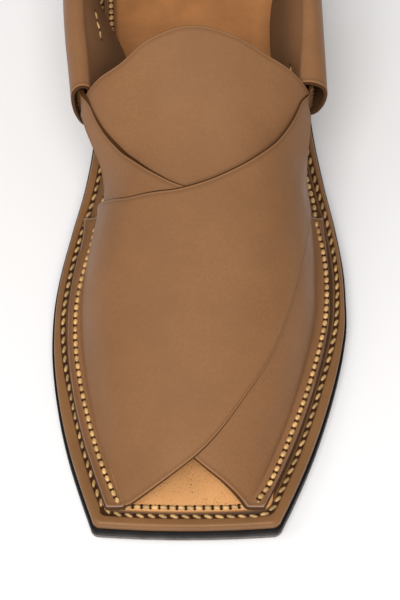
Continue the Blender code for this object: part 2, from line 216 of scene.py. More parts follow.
# Inner stitches, in the same way
INNER_ROW = [
    (0.024, 0.0122, 0.0116),
    (0.036, 0.0114, 0.0108),
    (0.057, 0.0109, 0.0098),
    (0.080, 0.0105, 0.0098),
    (0.130, 0.0105, 0.0100),
    (0.180, 0.0102, 0.0096),
    (0.240, 0.0097, 0.0093),
    (0.300, 0.0096, 0.0087),
    (0.350, 0.0101, 0.0081),
    (0.410, 0.0107, 0.0084),
    (0.440, 0.0103, 0.0087),
    (0.480, 0.0101, 0.0074),
    (0.560, 0.0099, 0.0078),
    (0.780, 0.0092, 0.0092),
    (0.940, 0.0085, 0.0085),
]

# Where the rows turn at the toe: how far to the right, and how far from the toe
OUTER_TURN = [
    (-0.0353, 0.0094),
    (-0.0329, 0.0075),
    (-0.0293, 0.0063),
    (-0.0248, 0.0058),
    (-0.0060, 0.0054),
    (0.0100, 0.0054),
    (0.0205, 0.0056),
    (0.0250, 0.0070),
    (0.0274, 0.0102),
]
INNER_TURN = [
    (-0.0292, 0.0078),
    (-0.0249, 0.0083),
    (-0.0060, 0.0077),
    (0.0100, 0.0079),
    (0.0166, 0.0085),
    (0.0204, 0.0079),
]

# Soft creases of the leather: position across and share of length of both ends,
# half-width across, and how deep (below nought for a ridge)
OVER_CREASES = [
    (0.86, 0.300, 0.99, 0.500, 0.060, 0.00090),
    (0.70, 0.400, 0.82, 0.520, 0.050, 0.00050),
    (0.97, 0.330, 1.00, 0.520, 0.030, -0.00050),
    (-0.72, 0.100, -0.80, 0.300, 0.120, 0.00060),
    (-0.45, 0.080, -0.55, 0.330, 0.140, -0.00040),
    (0.10, 0.060, 0.30, 0.260, 0.160, 0.00030),
]
UNDER_CREASES = [
    (-0.84, 0.360, -0.97, 0.500, 0.050, 0.00080),
    (-0.68, 0.420, -0.84, 0.530, 0.050, 0.00040),
    (0.62, 0.070, 0.86, 0.200, 0.080, 0.00040),
]
TONGUE_CREASES = [
    (-0.50, 0.420, -0.30, 0.600, 0.130, 0.00050),
    (0.10, 0.450, 0.16, 0.640, 0.160, -0.00040),
    (0.46, 0.430, 0.34, 0.600, 0.110, 0.00045),
]

# How far the tongue's rear corners are drawn toward the strap's mouths: right, back and up
TONGUE_LEFT = (-0.0022, 0.0004, 0.0008)
TONGUE_RIGHT = (0.0036, 0.0006, 0.0012)

# Bar stitches on the strap's inner face: share along the strap, and share round its section,
# of both ends
BAR_LEFT = (0.170, 0.900, 0.118, 0.888)
BAR_RIGHT = (0.932, 0.862, 0.957, 0.858)

# Points of the fine meshes: round the sole's sides to the heel breast, over the heel seat,
# round the heel, round a toe corner and over the toe; over the panels' sewn edges and past
# them, and from front to rear; over the tongue; and along the strap with the halvings of its
# section, for the strap and for the bar stitches
SIDE_POINTS, SEAT_POINTS, HEEL_POINTS, CORNER_POINTS, TOE_POINTS = 130, 20, 40, 12, 42
PANEL_POINTS = (60, 180, 84)
TONGUE_POINTS = (150, 110)
STRAP_POINTS = (260, 3)
BAR_POINTS = (400, 4)

# Angles in degrees past which an edge is shaded sharp, on the sole's pieces and on leather
PLATE_SHARP, SHEET_SHARP = 35.0, 60.0

# Where across the arch and at which y the tongue's corners start to be drawn, each with the
# width of its blend, and the foot of the tongue's cut edge as a share of the panels'
TONGUE_CORNER = (0.26, 0.42, -0.030, 0.040)
TONGUE_SKIVE = 0.25

# Step for the slopes of the outline and of the vamp, as a share of length and across
SLOPE_STEP = 0.01

# Outline: cut of a toe corner, and gaps behind the heel breast and at the very end
CORNER_CUT = 1.1
BREAST_STEP = 0.004
HEEL_END_GAP = 0.00004

# Shares of the sole's length: ends of the toe's spring and of the vamp's form, starts and
# blends of the upright ears and of their crumpling
SPRING_END = 0.16
VAMP_END = 0.66
EAR_START, EAR_BLEND = 0.520, 0.026
CRUMPLE_START, CRUMPLE_BLEND = 0.546, 0.008

# Vamp: reach and taps that round its fold, what beyond 1 across the arch spans the flange,
# and the share of a crease over which each of its ends fades
FOLD_REACH = 0.06
FOLD_TAPS = np.linspace(-1, 1, 13)
FLANGE_ACROSS = 0.1
CREASE_FADE = 0.3

# Ears: share along the strap that aims them, then the crumpled leather's waves, up and along
# the ear, and how far they add to the ear's own shift outward, as a share of it
EAR_AIM = 0.06
CRUMPLE_WAVES = (17.0, 260.0)
CRUMPLE_DEPTH = 1.2

# Panels: share with the sewn edge, and the lap's start, blend and gap
SEWN_SHARE = 0.135
LAP_START, LAP_BLEND = -1.02, 0.14
LAP_GAP = 0.00005

# Cut edges: steps of a quarter round. Then the painted shade on the strap's flesh side, inside
# its tube, and that of a cut as a share of its face's
CUT_STEPS = 4
LINING_SHADE = 0.85
CUT_SHADE = 0.5

# Strap: step for its direction, start and end of its inner ply round the section, each with
# its blend, then the painted shade on that ply and brightness of the leather
STRAP_STEP = 0.005
STRAP_INSIDE = (7.4, 1.2, 11.98, 2.4)
STRAP_SHADE = 0.74
STRAP_BRIGHT = 1.16

# How far the outsole's lowest ring is inside its chamfer, then rings round the sole's pieces:
# inset, height, and a share of painted light: reflection on the rubber, shade on the rim
CHAMFER_LIP = 0.0004
# Painted reflection of the floor on the rubber's lower side
LOWER_REFLECTION = [(0.0, 0.0024, 0.9), (0.0002, 0.0027, 0.1), (0.0, 0.0030, 0.0)]
RUBBER_TOP = [(0.0, -0.0006, 0.0), (0.00018, -0.00018, 0.0), (0.0006, 0.0, 0.0)]
# Painted shade at the rim's foot, and on its top inside the groove by the flanges' edge
RIM_FOOT = [(0.0003, 0.0, 0.7), (0.0, 0.0003, 0.45), (0.0, 0.0010, 0.05)]
RIM_INSIDE = [(0.0003, 0.0, 0.65), (0.0012, 0.0, 0.75)]

# Outer row: its base line inside the edge, where its own line starts, steps of its groove and
# the painted shade in it, and how deep the thread sits
OUTER_INSET = 0.0055
DRAWN_START, DRAWN_BLEND = 0.022, 0.012
GROOVE_STEPS = 6
GROOVE_SHADE = 0.97
GROOVE_SEAT = 0.45

# Insole: shares of length between which its sides are tucked, where its dye starts, round of
# its edge, insets of the dyed band and of the bare leather
TUCK_ENDS, TUCK_BLEND = (0.034, 0.470), 0.02
DYE_START, DYE_BLEND = 0.10, 0.05
INSOLE_ROUND = 0.0005
DYED_BAND = (0.0012, 0.0042)
BARE_INSET = 0.0058

# Stitch rows: points on each side, rear end, and where the inner row leaves the flange
ROW_POINTS = 160
ROW_END = 0.93
FLANGE_REAR, FLANGE_DROP = 0.452, 0.008

# One stitch: faces along and round it, how deep its ends are, how thin, how full its belly,
# and the ranges of its turn and size; then its needle hole, and the nodes' inputs
STITCH_STEPS, STITCH_SIDES = 6, 8
STITCH_SINK = 0.35
STITCH_TIP = 0.45
BELLY_POWER = 0.45
STITCH_TURN = (-0.09, 0.09)
STITCH_SIZE = ((0.95, 0.93, 0.92), (1.04, 1.07, 1.08))
HOLE_SIDES, HOLE_RINGS = 8, 4
HOLE_SQUASH = (0.85, 1.0, 0.12)
STITCH_INPUTS = [
    ("Geometry", "Geometry"), ("Pitch", "Float"), ("Stitch length", "Float"),
    ("Thread", "Float"), ("Slant", "Float"), ("Arch", "Float"), ("Flatness", "Float"),
    ("Hole width", "Float"), ("Seed", "Int"), ("Thread material", "Material"),
    ("Hole material", "Material"),
]

# Looks of the stitches: brightness of the thread, slant, arch, flatness and a hole's width;
# then a bar stitch's length as a share of its pitch, and its thread and hole as shares of
# the thread
OUTER_LOOK = (0.78, -0.34, 0.00040, 0.85, 0.0017)
INNER_LOOK = (1.04, -0.16, 0.00050, 0.80, 0.0022)
BAR_LOOK = (1.0, 0.0, 0.00020, 0.9)
BAR_LENGTH, BAR_THREAD, BAR_HOLE = 0.80, 0.72, 0.8

# Studio: floor, sky, lamps (name, place, size, power) and camera
FLOOR_REACH = 6.0
FLOOR_COLOUR = (0.93, 0.915, 0.91)
SKY_COLOUR = (1.0, 1.0, 0.99)
SKY_STRENGTH = 0.31
LAMPS = [("key", (-0.10, -0.80, 1.10), 0.9, 17.0), ("side", (-0.70, -0.20, 1.00), 0.6, 2.0)]
LAMP_AIM = (0.0, 0.0, 0.03)
CAMERA_PLACE = (0.0, -0.3790, 0.5827)
CAMERA_TILT = 30.0
CAMERA_LENS = 102.0
CAMERA_SENSOR = 36.0
CAMERA_CLIP = (0.01, 50.0)


def length(name, description, default):
    """A length that a user can change."""
    return FloatProperty(
        name=name, description=description, default=default, min=0.0, unit="LENGTH", precision=5
    )


def colour(name, description, default):
    """A colour that a user can change."""
    return FloatVectorProperty(
        name=name, description=description, default=default, subtype="COLOR", min=0.0, max=1.0
    )


class ChappalSizes(bpy.types.PropertyGroup):
    """Sizes of the shoe and its stitches."""

    sole_length: length("Sole length", "Toe to heel over the outsole", 0.290)
    sole_width: length("Sole width", "Widest part of the outsole", 0.1143)
    outsole_thickness: length("Outsole", "Thickness of the rubber", 0.0062)
    outsole_ledge: length("Outsole ledge", "How far the rubber stands out", 0.0010)
    outsole_chamfer: length("Outsole chamfer", "Cut on the rubber's lower edge", 0.0008)
    midsole_thickness: length("Midsole", "Thickness of the leather rim", 0.0040)
    midsole_round: length("Midsole round", "Radius of the rim's top edge", 0.0016)
    insole_thickness: length("Insole", "Thickness of the insole", 0.0022)
    insole_inset: length("Insole inset", "Insole edge inside the outsole edge", 0.0065)
    flange_width: length("Flange width", "Flat sewn edge of each panel", 0.0062)
    toe_bow: length("Toe bow", "How far the toe edge bows forward", 0.0012)
    toe_corner: length("Toe corner", "Radius of the toe's corners", 0.0016)
    heel_rise: length("Heel rise", "Heel above forefoot", 0.0110)
    toe_spring: length("Toe spring", "Rise of the toe", 0.0015)
    heel_breast: length("Heel breast", "Front of the heel from the toe", 0.202)
    clearance: length("Clearance", "Gap between stacked pieces", 0.0003)
    panel_wall: length("Panel wall", "Thickness of the lower panel", 0.0020)
    panel_lap: length("Panel lap", "How far the panels share their thickness", 0.0009)
    tongue_wall: length("Tongue wall", "Thickness of the tongue", 0.0016)
    tongue_clearance: length("Tongue clearance", "Gap over the tongue", 0.0005)
    ear_clearance: length("Ear clearance", "Gap between an ear and the strap", 0.0009)
    ear_depth: length("Ear depth", "Ear below the top of the mouth", 0.0050)
    ear_height: length("Ear height", "Height of the ear's end", 0.0130)
    ear_crumple: length("Ear crumple", "Waves of the ear inside the strap", 0.0008)
    strap_wall: length("Strap wall", "Thickness of the strap's leather", 0.0016)
    strap_top: length("Strap top", "Top of the heel strap over the floor", 0.0725)
    strap_height: length("Strap height", "Height of the strap at the heel", 0.0360)
    strap_bulge: length("Strap bulge", "How far the strap's outside stands out", 0.0100)
    strap_lean: length("Strap lean", "How far the inner ply leans inward", 0.0155)
    strap_edge: length("Strap edge", "Round of the strap's folds", 0.0012)
    vamp_height: length("Vamp height", "Top of the panels over the insole", 0.078)
    arch_spread: length("Arch spread", "How far the ears stand out", 0.023)
    cut_round: length("Cut round", "Softened corner of a cut leather edge", 0.00045)
    insole_tuck: length("Insole tuck", "How far the insole's sides lie under the panels", 0.0014)
    skive: length("Skive", "How far a cut edge's foot stands out", 0.0004)
    outer_pitch: length("Outer pitch", "One stitch of the outer row", 0.0041)
    inner_pitch: length("Inner pitch", "One stitch of the inner row", 0.0032)
    outer_stitch: length("Outer stitch", "Length of an outer stitch", 0.0034)
    inner_stitch: length("Inner stitch", "Length of an inner stitch", 0.0022)
    thread: length("Thread", "Diameter of the waxed thread", 0.0014)
    bead: length("Bead", "Width of an inner stitch", 0.0017)
    groove_width: length("Groove width", "Channel of the outer row", 0.0027)
    groove_depth: length("Groove depth", "Depth of the channel", 0.0007)
    seed: IntProperty(name="Seed", description="Seed of the stitches' small turns", default=7)


class ChappalColours(bpy.types.PropertyGroup):
    """Colours of the shoe's materials."""

    upper: colour("Upper", "Smooth taupe-brown leather", (0.246, 0.117, 0.051))
    lining: colour("Lining", "Flesh side of the panels", (0.30, 0.16, 0.07))
    # Cut edge: dyed dark, and dark enough to stand as the painted shadow line along each edge
    cut: colour("Cut edge", "Dyed cut edge of the leather", (0.070, 0.030, 0.011))
    rim: colour("Rim", "Waxed leather of the midsole", (0.225, 0.104, 0.038))
    insole: colour("Insole", "Natural leather", (0.76, 0.375, 0.140))
    # Heel seat: painted shadow of the tongue and strap over the insole's rear
    heel: colour("Heel seat", "Insole leather darkened as painted shadow", (0.455, 0.192, 0.064))
    rubber: colour("Rubber", "Black outsole", (0.0060, 0.0048, 0.0042))
    # Painted reflection of the pale floor on the rubber's lower edge
    rubber_reflection: colour("Rubber reflection", "Painted reflection on the lower edge", (0.18, 0.155, 0.14))
    thread: colour("Thread", "Gold waxed thread", (0.66, 0.40, 0.15))
    # Flange lip: painted highlight, the pale reflection on the polished cut edge of the flanges
    flange: colour("Flange lip", "Painted highlight on the polished edge of the sewn flanges", (0.36, 0.25, 0.20))
    # Hole: painted shade of the needle holes, the thread's ends and the rim's groove
    hole: colour("Hole", "Needle holes and groove", (0.038, 0.013, 0.005))


def sizes():
    return bpy.context.scene.chappal_sizes


def colours():
    return bpy.context.scene.chappal_colours


def spline(rows, column, at):
    """Values of a column between its rows, as a smooth curve that doesn't overshoot."""
    table = np.array(rows, dtype=float)
    x = table[:, 0]
    y = table[:, column]
    chord = np.diff(y) / np.diff(x)
    before = chord[:-1]
    after = chord[1:]
    mean = (before + after) / 2
    limit = 3 * np.minimum(np.abs(before), np.abs(after))
    inner = np.where(before * after <= 0, 0.0, np.sign(mean) * np.minimum(np.abs(mean), limit))
    slope = np.concatenate([chord[:1], inner, chord[-1:]])
    at = np.clip(at, x[0], x[-1])
    i = np.clip(np.searchsorted(x, at, side="left") - 1, 0, len(x) - 2)
    step = x[i + 1] - x[i]
    u = (at - x[i]) / step
    h = y[i] * (2 * u**3 - 3 * u**2 + 1) + slope[i] * step * (u**3 - 2 * u**2 + u)
    return h + y[i + 1] * (3 * u**2 - 2 * u**3) + slope[i + 1] * step * (u**3 - u**2)


def ease(value):
    value = np.clip(value, 0.0, 1.0)
    return value * value * (3 - 2 * value)


def unit(vectors):
    size = np.linalg.norm(vectors, axis=-1, keepdims=True)
    return vectors / np.maximum(size, 1e-12)


def y_at(share):
    return (share - 0.5) * sizes().sole_length


def half_breadth(column, share, inset):
    """Half-breadth of the sole on one side, a given distance inside its edge."""
    s = sizes()
    low = np.maximum(0.0, share - SLOPE_STEP)
    high = np.minimum(1.0, share + SLOPE_STEP)
    rise = spline(OUTLINE, column, high) - spline(OUTLINE, column, low)
    slope = rise * s.sole_width / ((high - low) * s.sole_length)
    breadth = spline(OUTLINE, column, share) * s.sole_width - inset * np.sqrt(1 + slope * slope)
    end = 1 - inset / s.sole_length
    u = np.clip((share - HEEL_ROUND_START) / (end - HEEL_ROUND_START), 0.0, 1.0)
    return breadth * (1 - u**HEEL_ROUND_POWER) ** (1 / HEEL_ROUND_POWER)


def sole_top(share):
    s = sizes()
    spring = s.toe_spring * np.maximum(0.0, 1 - share / SPRING_END) ** 2
    return s.outsole_thickness + spring + s.heel_rise * spline(RISE, 1, share)


def sole_bottom(share):
    s = sizes()
    raised = sole_top(share) - s.outsole_thickness
    return np.where(share * s.sole_length > s.heel_breast, 0.0, raised)


def midsole_top(share):
    return sole_top(share) + sizes().clearance + sizes().midsole_thickness


def insole_top(share):
    return midsole_top(share) + sizes().clearance + sizes().insole_thickness


def outline(inset):
    """The sole's outline inside its edge: x and share of length of the front, left to right,
    then of the right side to the heel, and of the left side to the heel."""
    s = sizes()
    start = (inset + s.toe_bow + s.toe_corner) / s.sole_length
    end = 1 - inset / s.sole_length
    breast = s.heel_breast / s.sole_length
    heel = np.sin(np.linspace(0, math.pi / 2, HEEL_POINTS, endpoint=False))
    shares = np.concatenate([
        np.linspace(start, breast, SIDE_POINTS),
        np.linspace(breast + BREAST_STEP, HEEL_ROUND_START, SEAT_POINTS, endpoint=False),
        HEEL_ROUND_START + (end - HEEL_ROUND_START) * heel,
        [end - HEEL_END_GAP],
    ])
    left = half_breadth(1, start, inset)
    right = half_breadth(2, start, inset)
    near_left = half_breadth(1, inset / s.sole_length, inset)
    near_right = half_breadth(2, inset / s.sole_length, inset)
    u = np.linspace(0, 1, CORNER_POINTS, endpoint=False)
    cut = CORNER_CUT * s.toe_corner * (1 - u) ** 2
    corner = (inset + s.toe_bow + s.toe_corner * u * u) / s.sole_length
    side = np.concatenate([corner, shares])
    x_left = near_left - cut + (left - near_left) * u * u
    x_right = near_right - cut + (right - near_right) * u * u
    x_left = -np.concatenate([x_left, half_breadth(1, shares, inset)])
    x_right = np.concatenate([x_right, half_breadth(2, shares, inset)])
    u = np.linspace(0, 1, TOE_POINTS)[1:-1]
    bow = s.toe_bow * (1 - (2 * u - 1) ** 2) / s.sole_length
    front = np.stack([x_left[0] + (x_right[0] - x_left[0]) * u, side[0] - bow], axis=1)
    return front, np.stack([x_right, side], axis=1), np.stack([x_left, side], axis=1)


def outline_ring(inset):
    """The whole outline as one closed line of x and share: over the toe from left to right,
    down the right side to the heel, and back up the left side."""
    front, right, left = outline(inset)
    return np.concatenate([front, right, left[::-1]])


def add_object(name, data):
    """A new object in the scene."""
    obj = bpy.data.objects.new(name, data)
    bpy.context.scene.collection.objects.link(obj)
    return obj


def mesh_piece(name, points, faces, material, attributes, sharp):
    """An object at the origin with this mesh, shaded smooth but for edges over this angle."""
    mesh = bpy.data.meshes.new(name)
    mesh.from_pydata(points.tolist(), [], faces)
    for label, values in attributes.items():
        layer = mesh.attributes.new(label, "FLOAT", "POINT")
        layer.data.foreach_set("value", np.asarray(values, dtype=np.float32))
    mesh.materials.append(material)
    mesh.shade_smooth()
    mesh.set_sharp_from_angle(angle=math.radians(sharp))
    mesh.validate()
    return add_object(name, mesh)


def place(obj, slot=None, *nodes):
    """The piece rides on the shoe and stands for these solids, which it hides; the slot is not
    used.
    """
    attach(obj, "root")
    if nodes:
        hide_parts(*nodes)


def ring_faces(first, second):
    """Faces between two closed rings of point numbers."""
    corners = [first, np.roll(first, -1), np.roll(second, -1), second]
    return np.stack(corners, axis=1).tolist()


def plate(name, rings, material):
    """A solid of stacked outline rings: inset, height function, offset, a share of dye and
    painted light and, where given, a function that draws its sides further in."""
    points = []
    dye_and_painted_light = []
    for inset, height, offset, dark, *drawn in rings:
        ring = outline_ring(inset)
        for extra in drawn:
            ring[:, 0] -= np.sign(ring[:, 0]) * extra(ring[:, 0], ring[:, 1])
        heights = height(ring[:, 1]) + offset
        points.append(np.column_stack([ring[:, 0], y_at(ring[:, 1]), heights]))
        dye_and_painted_light.append(dark(ring[:, 1]) if callable(dark) else np.full(len(ring), dark))
    index = np.arange(len(rings) * len(points[0])).reshape(len(rings), -1)
    faces = []
    for low, high in zip(index[:-1], index[1:]):
        faces += ring_faces(low, high)
    front, right, _ = outline(rings[0][0])
    wide, tall = len(front), len(right)
    for ring, turn in ((index[0].tolist(), -1), (index[-1].tolist(), 1)):
        rights = ring[wide:wide + tall]
        lefts = ring[::-1][:tall]
        caps = [[lefts[0], *ring[:wide], rights[0]]]
        for i in range(tall - 1):
            caps.append([lefts[i], rights[i], rights[i + 1], lefts[i + 1]])
        faces += [cap[::turn] for cap in caps]
    marks = {"dye_and_painted_light": np.concatenate(dye_and_painted_light)}
    return mesh_piece(name, np.concatenate(points), faces, material, marks, PLATE_SHARP)


def stacked(rows, edge, height, rise, *drawn):
    """Rings for a plate from rows of inset, height and a share of dye and painted light."""
    return [(edge + inset, height, rise + up, dye_and_painted_light, *drawn) for inset, up, dye_and_painted_light in rows]


def round_steps(radius, count):
    """Steps round a quarter circle: how far in and how far up."""
    for i in range(count + 1):
        angle = i / count * math.pi / 2
        yield radius * (1 - math.cos(angle)), radius * math.sin(angle)


def arch_point(across, share):
    """A point of the vamp's form: -1 to 1 over the arch, beyond that on the flat flange."""
    s = sizes()
    at = np.clip(share, 0.0, VAMP_END)
    inset = s.insole_inset + s.flange_width
    left = half_breadth(1, at, inset) + spline(VAMP, 3, at) * s.arch_spread
    right = half_breadth(2, at, inset) + spline(VAMP, 4, at) * s.arch_spread
    middle = (right - left) / 2
    half = (right + left) / 2
    base = insole_top(at) + s.clearance + s.panel_wall
    flat = np.abs(across) > 1
    sweep = np.where(flat, np.sign(across), np.sin(np.clip(across, -1, 1) * math.pi / 2))
    beyond = np.where(flat, (np.abs(across) - 1) * s.flange_width / FLANGE_ACROSS, 0.0)
    x = middle + half * sweep + np.sign(across) * beyond
    height = s.vamp_height * spline(VAMP, 1, at)
    rise = np.maximum(0.0, 1 - np.abs(sweep) ** spline(VAMP, 2, at))
    z = base + height * np.where(flat, 0.0, rise ** spline(VAMP, 5, at))
    return np.stack([x, y_at(share), z], axis=-1)


def soft_point(across, share):
    """The vamp's form with its fold at the flange rounded."""
    return sum(arch_point(across + tap * FOLD_REACH, share) for tap in FOLD_TAPS) / len(FOLD_TAPS)


def vamp_point(across, share, lift):
    """A point a given distance outside the vamp's form."""
    du = soft_point(across + SLOPE_STEP, share) - soft_point(across - SLOPE_STEP, share)
    dv = soft_point(across, share + SLOPE_STEP) - soft_point(across, share - SLOPE_STEP)
    return soft_point(across, share) + unit(np.cross(du, dv)) * lift[..., None]


def ear_point(side, share, back):
    """A point of a panel's ear, upright inside the strap's mouth: back is 1 at its top."""
    s = sizes()
    mouth = 0.0 if side < 0 else 1.0
    inward = abs(mouth - EAR_AIM)
    start = spline(STRAP, 2, mouth)
    run = np.maximum(0.0, share - start) / (spline(STRAP, 2, inward) - start)
    line = spline(STRAP, 1, mouth + (inward - mouth) * run) * s.sole_width
    x = line + side * (s.strap_wall + s.ear_clearance + s.panel_wall)
    across, along = CRUMPLE_WAVES
    wave = 1 + CRUMPLE_DEPTH * np.abs(np.sin(back * across + share * along))
    x = x + side * wave * ease((share - CRUMPLE_START) / CRUMPLE_BLEND) * s.ear_crumple
    top = spline(STRAP, 3, mouth) * s.strap_top - s.ear_depth
    return np.stack([x, y_at(share), top - s.ear_height * (1 - back)], axis=-1)


def creased(across, share, creases):
    """How far soft creases lower a leather surface."""
    total = np.zeros_like(across)
    for across_a, share_a, across_b, share_b, half, depth in creases:
        u = (share - share_a) / (share_b - share_a)
        line = across_a + (across_b - across_a) * u
        fade = ease(u / CREASE_FADE) * ease((1 - u) / CREASE_FADE)
        total += depth * fade * np.exp(-((across - line) / half) ** 2)
    return total


def sheet_grid(table, lift, ear, columns, rows, creases):
    """Outer points of a leather sheet between the front and rear edges of a table, and where
    they are across the arch. ear is -1 or 1 where the sheet ends in an ear on that side."""
    at = columns[:, None] + np.zeros(len(rows))
    back = np.zeros(len(columns))[:, None] + rows
    across = spline(table, 1, at) + (spline(table, 3, at) - spline(table, 1, at)) * back
    share = spline(table, 2, at) + (spline(table, 4, at) - spline(table, 2, at)) * back
    points = vamp_point(across, share, lift(across) - creased(across, share, creases))
    if ear:
        into = ease((share - EAR_START) / EAR_BLEND)[..., None]
        points = points * (1 - into) + ear_point(ear, share, back) * into
    return points, across


def grid_normals(points, wrap):
    """Unit normals of a grid of points, whose rows close on themselves where it wraps."""
    du = np.gradient(points, axis=0)
    if wrap:
        dv = (np.roll(points, -1, axis=1) - np.roll(points, 1, axis=1)) / 2
    else:
        dv = np.gradient(points, axis=1)
    return unit(np.cross(du, dv))


def end_distance(points, axis):
    """How far each point of a grid is from the nearer end of its line along an axis."""
    steps = np.diff(points, axis=axis, prepend=points.take([0], axis=axis))
    run = np.cumsum(np.linalg.norm(steps, axis=-1), axis=axis)
    return np.minimum(run, run.take([-1], axis=axis) - run)


def edge_directions(outer, wrap):
    """Unit directions out of a grid across its open edges."""
    out = np.zeros_like(outer)
    out[0] = outer[0] - outer[1]
    out[-1] = outer[-1] - outer[-2]
    if not wrap:
        for side, beside in ((0, 1), (-1, -2)):
            size = np.linalg.norm(out[:, side], axis=-1, keepdims=True).clip(1e-6)
            out[:, side] += unit(outer[:, side] - outer[:, beside]) * size
    return unit(out)


def leather_sheet(name, outer, wall, material, wrap=False, painted_shade=None, skive=None):
    """A closed sheet under a grid of outer points, its cut edges softly rounded. Its
    attributes say how far a point is from a cut edge, how far round to the flesh side, and
    how much painted shade it takes."""
    s = sizes()
    skive = s.skive if skive is None else skive
    rows, columns = outer.shape[:2]
    total = rows * columns
    painted_shade = np.zeros(total) if painted_shade is None else painted_shade.reshape(-1)
    inner = outer - grid_normals(outer, wrap) * np.broadcast_to(wall, (rows, columns))[..., None]
    distance = end_distance(outer, 0)
    if not wrap:
        distance = np.minimum(distance, end_distance(outer, 1))
    index = np.arange(total).reshape(rows, columns)
    if wrap:
        loops = [index[0], index[-1][::-1]]
        near, beside = index, np.roll(index, -1, axis=1)
    else:
        loops = [np.concatenate([index[0], index[1:, -1], index[-1, -2::-1], index[-2:0:-1, 0]])]
        near, beside = index[:, :-1], index[:, 1:]
    quads = np.stack([near[:-1], near[1:], beside[1:], beside[:-1]], axis=-1).reshape(-1, 4)
    faces = np.stack([quads, quads[:, ::-1] + total], axis=1).reshape(-1, 4).tolist()

    out = edge_directions(outer, wrap).reshape(-1, 3)
    outer = outer.reshape(-1, 3)
    inner = inner.reshape(-1, 3)
    up = unit(outer - inner)
    points = [outer - out * s.cut_round, inner - out * s.cut_round]
    edge = [distance.reshape(-1)] * 2
    flesh = [np.zeros(total), np.ones(total)]
    # Painted shade: the inside of a wrapped strap's tube is darkened
    shade_parts = [painted_shade, np.full(total, LINING_SHADE if wrap else 0.0)]
    shares = [step / CUT_STEPS for step in range(1, CUT_STEPS + 1)]
    turns = [(outer, -1, share, share / 2) for share in shares]
    turns += [(inner + out * skive, 1, share, 1 - share / 2) for share in shares[::-1]]
    offset = 2 * total
    for loop in loops:
        ring = loop
        for base, sign, share, turned in turns:
            angle = share * math.pi / 2
            inward = out[loop] * s.cut_round * (1 - math.sin(angle))
            down = up[loop] * s.cut_round * (1 - math.cos(angle))
            points.append(base[loop] - inward + sign * down)
            edge.append(np.zeros(len(loop)))
            flesh.append(np.full(len(loop), turned))
            shade_parts.append(painted_shade[loop] * CUT_SHADE)
            below = np.arange(offset, offset + len(loop))
            faces += ring_faces(ring, below)
            ring = below
            offset += len(loop)
        faces += ring_faces(ring, loop + total)
    attributes = {"edge": edge, "flesh": flesh, "painted_shade": shade_parts}
    attributes = {label: np.concatenate(parts) for label, parts in attributes.items()}
    return mesh_piece(name, np.concatenate(points), faces, material, attributes, SHEET_SHARP)


def strap_grid(stations, halvings):
    """Points of the strap's outside: stations along it, and a smooth section round it."""
    s = sizes()
    along = np.linspace(0, 1, stations)
    low = np.maximum(0.0, along - STRAP_STEP)
    high = np.minimum(1.0, along + STRAP_STEP)
    dx = (spline(STRAP, 1, high) - spline(STRAP, 1, low)) * s.sole_width
    dy = (spline(STRAP, 2, high) - spline(STRAP, 2, low)) * s.sole_length
    out = unit(np.stack([-dy, dx, np.zeros_like(dx)], axis=-1))
    x, share, top, tall, bulge, lean = (spline(STRAP, column, along) for column in range(1, 7))
    line = np.stack([x * s.sole_width, y_at(share), top * s.strap_top], axis=-1)
    tall, bulge, lean = tall * s.strap_height, bulge * s.strap_bulge, lean * s.strap_lean
    section = []
    for share_out, share_in, share_down, share_edge in STRAP_SECTION:
        reach = share_out * bulge - share_in * lean + share_edge * s.strap_edge
        corner = line + out * reach[:, None]
        corner[:, 2] -= share_down * tall
        section.append(corner)
    points = np.stack(section, axis=1)
    for _ in range(halvings):
        # A new point between each two, on the cubic curve through the four around it
        before, after, far = (np.roll(points, shift, axis=1) for shift in (1, -1, -2))
        middle = (points + after) * 9 / 16 - (before + far) / 16
        points = np.stack([points, middle], axis=2).reshape(stations, -1, 3)
    return points


class Builder:
    """Adds nodes to a tree."""

    def __init__(self, tree):
        self.tree = tree

    def fill(self, node, values):
        """Links or sets a node's inputs, given by name or number, and gives its outputs."""
        for name, value in values.items():
            if isinstance(value, bpy.types.NodeSocket):
                self.tree.links.new(value, node.inputs[name])
            else:
                node.inputs[name].default_value = value
        return node.outputs

    def add(self, kind, values, **settings):
        """The outputs of a new node with these inputs and settings."""
        node = self.tree.nodes.new(kind)
        for name, value in settings.items():
            setattr(node, name, value)
        return self.fill(node, values)

    def math(self, kind, a, b=0.0):
        return self.add("ShaderNodeMath", {0: a, 1: b}, operation=kind)[0]

    def times(self, a, b):
        return self.math("MULTIPLY", a, b)


